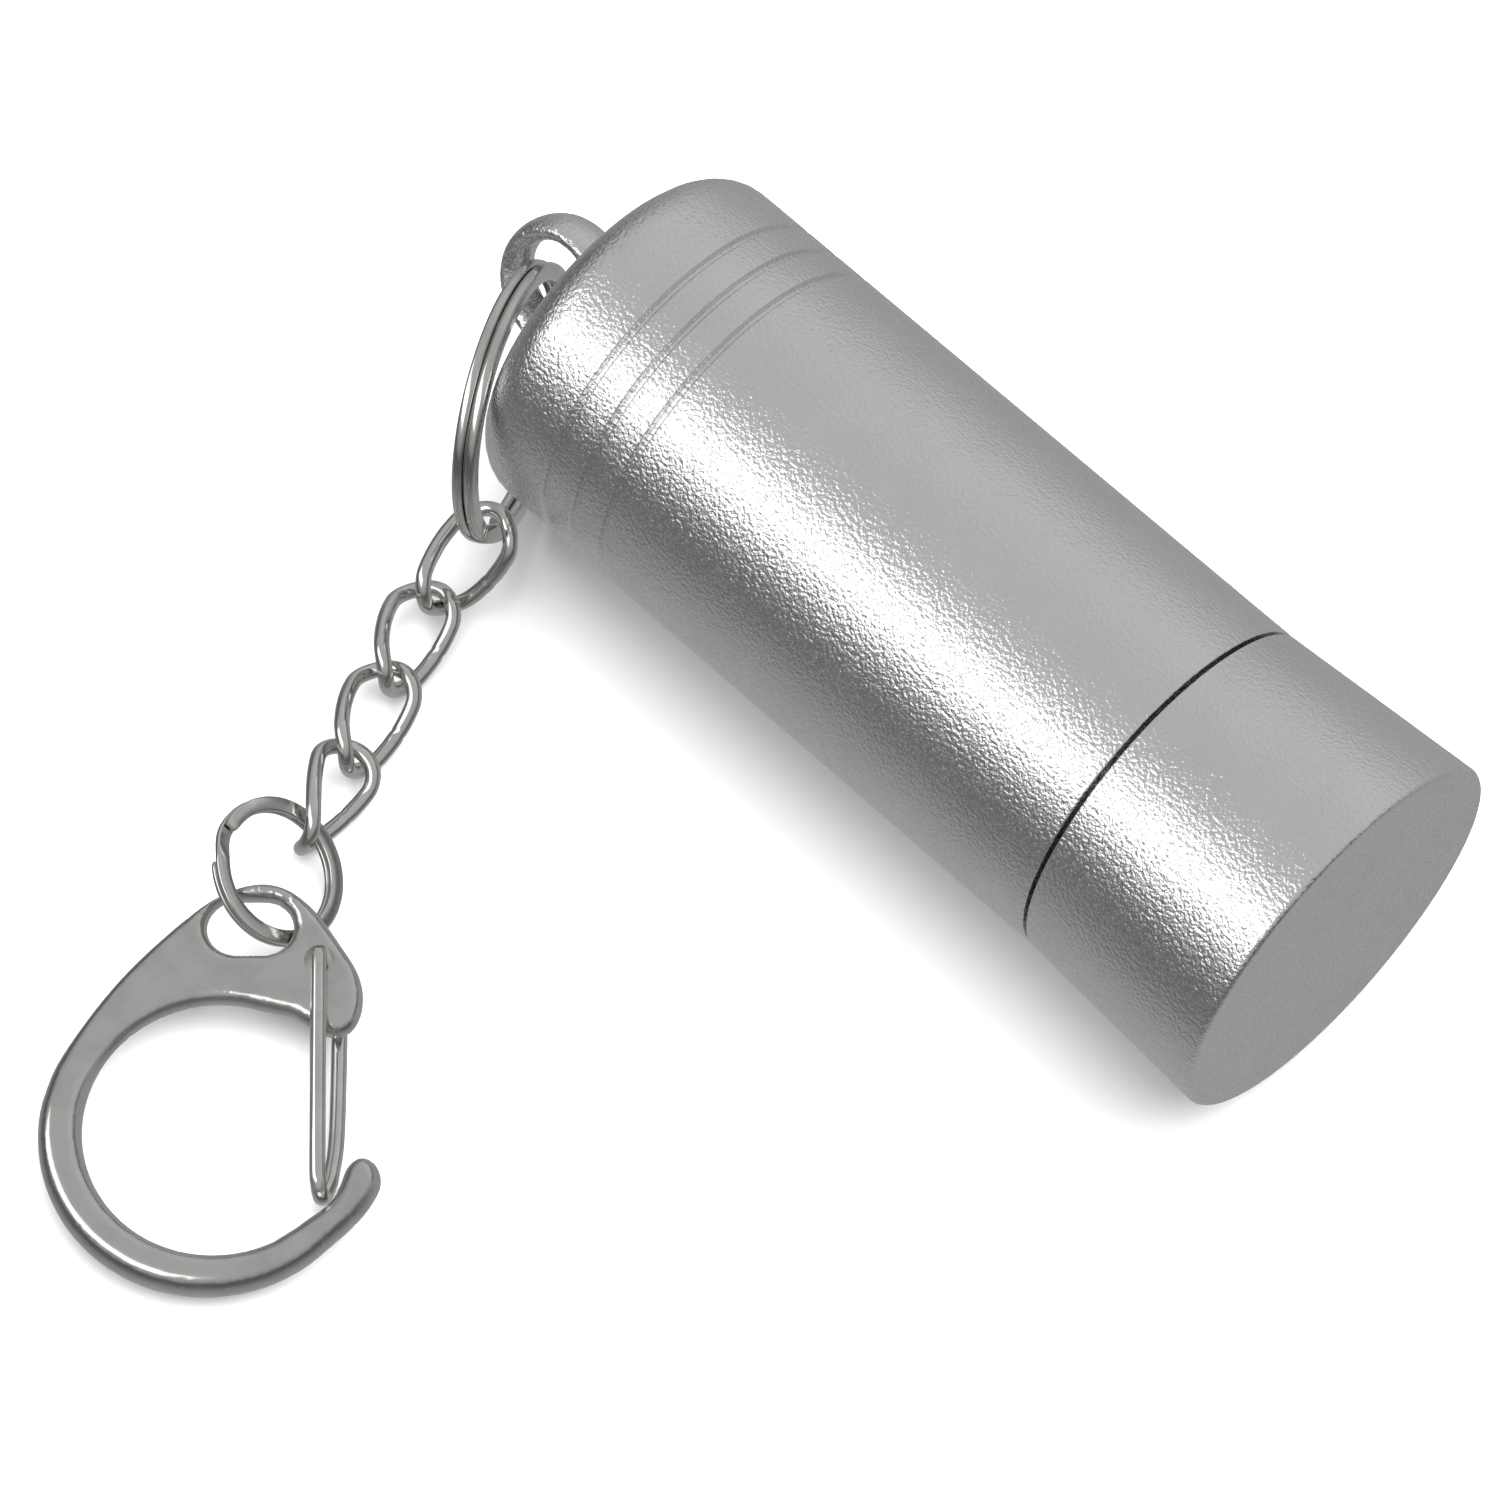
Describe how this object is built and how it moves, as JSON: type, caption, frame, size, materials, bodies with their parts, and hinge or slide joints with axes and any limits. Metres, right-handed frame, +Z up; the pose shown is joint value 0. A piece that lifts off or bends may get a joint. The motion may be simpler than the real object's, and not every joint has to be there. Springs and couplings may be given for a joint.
{
  "type": "keychain magnet tool",
  "caption": "Cylindrical aluminium pocket tool with a flared screw cap over a magnet stack, hung from a split ring, short curb chain and wire-gate snap hook.",
  "frame": {"origin": "centre of the cap's flat front face", "axes": "+X out of the front face along the cylinder's axis, +Z up with the tool lying on its side, +Y to complete a right-handed frame"},
  "size_m": [0.0799, 0.0876, 0.0308],
  "materials": {
    "body_sleeve": "fine bead-blasted matte silver, clear anodised",
    "front_cap": "fine bead-blasted matte silver, clear anodised",
    "keeper_plate": "ground steel",
    "cap_liner": "matte black foam rubber",
    "thread_o_ring": "matte black",
    "snap_ring": "phosphated spring steel",
    "ring_magnet": "nickel-plated sintered magnet",
    "disc_magnet_1": "nickel-plated sintered magnet",
    "disc_magnet_2": "nickel-plated sintered magnet",
    "disc_magnet_3": "nickel-plated sintered magnet",
    "yoke_cup": "turned mild steel",
    "wave_washer": "spring steel",
    "back_spacer": "black moulded plastic",
    "split_ring": "bright nickel plate",
    "small_split_ring": "bright nickel plate",
    "hook_body": "nickel-plated zinc casting, tumbled",
    "gate_wire": "bright nickel plate",
    "chain_link_1": "bright nickel plate",
    "chain_link_2": "bright nickel plate",
    "chain_link_3": "bright nickel plate",
    "chain_link_4": "bright nickel plate"
  },
  "bodies": {
    "handle": {"body_sleeve": "body_sleeve", "thread_o_ring": "thread_o_ring", "snap_ring": "snap_ring", "ring_magnet": "ring_magnet", "disc_magnet_1": "disc_magnet_1", "disc_magnet_2": "disc_magnet_2", "disc_magnet_3": "disc_magnet_3", "yoke_cup": "yoke_cup", "wave_washer": "wave_washer", "back_spacer": "back_spacer"},
    "cap_carrier": {"keeper_plate": "keeper_plate", "cap_liner": "cap_liner"},
    "cap": {"front_cap": "front_cap"},
    "split_ring": {"split_ring": "split_ring"},
    "link_1": {"chain_link_1": "chain_link_1"},
    "link_2": {"chain_link_2": "chain_link_2"},
    "link_3": {"chain_link_3": "chain_link_3"},
    "link_4": {"chain_link_4": "chain_link_4"},
    "small_ring": {"small_split_ring": "small_split_ring"},
    "hook": {"hook_body": "hook_body"},
    "gate": {"gate_wire": "gate_wire"}
  },
  "joints": [
    {"name": "cap_advance", "type": "slide", "parent": "handle", "child": "cap_carrier", "axis": [1, 0, 0], "range_m": [0, 0.006]},
    {"name": "cap_turn", "type": "hinge", "parent": "cap_carrier", "child": "cap", "pos_m": [0, 0, 0], "axis": [1, 0, 0], "range_deg": [0, 1440]},
    {"name": "ring_swing", "type": "hinge", "parent": "handle", "child": "split_ring", "pos_m": [-0.0751, 0, 0], "axis": [0, -0.866, 0.5], "range_deg": [-60, 0]},
    {"name": "link_1_swing", "type": "hinge", "parent": "split_ring", "child": "link_1", "pos_m": [-0.06825, -0.01431, -0.0101], "axis": [-0.2131, 0.6336, -0.7438], "range_deg": [-15, 40]},
    {"name": "link_2_swing", "type": "hinge", "parent": "link_1", "child": "link_2", "pos_m": [-0.06822, -0.02074, -0.01283], "axis": [0.1299, 0.4428, -0.8872], "range_deg": [-25, 25]},
    {"name": "link_3_swing", "type": "hinge", "parent": "link_2", "child": "link_3", "pos_m": [-0.06657, -0.02585, -0.01315], "axis": [0.8609, 0.3443, 0.3746], "range_deg": [-30, 30]},
    {"name": "link_4_swing", "type": "hinge", "parent": "link_3", "child": "link_4", "pos_m": [-0.06341, -0.03374, -0.01315], "axis": [0.1292, 0.0517, -0.9903], "range_deg": [-25, 25]},
    {"name": "small_ring_swing", "type": "hinge", "parent": "link_4", "child": "small_ring", "pos_m": [-0.06102, -0.03899, -0.01315], "axis": [-0.8434, 0.066, 0.5333], "range_deg": [-30, 30]},
    {"name": "hook_swing", "type": "hinge", "parent": "small_ring", "child": "hook", "pos_m": [-0.05821, -0.04788, -0.01103], "axis": [0.7309, 0.2897, -0.618], "range_deg": [-15, 40]},
    {"name": "gate_open", "type": "hinge", "parent": "hook", "child": "gate", "pos_m": [-0.05214, -0.04647, -0.01162], "axis": [-0.0511, 0.0525, -0.9973], "range_deg": [0, 27], "stiffness_Nm_per_rad": 0.003, "springref_deg": -20.05}
  ],
  "couplings": [
    {"joint": "cap_turn", "follows": "cap_advance", "rad_per_m": 4188.8}
  ]
}
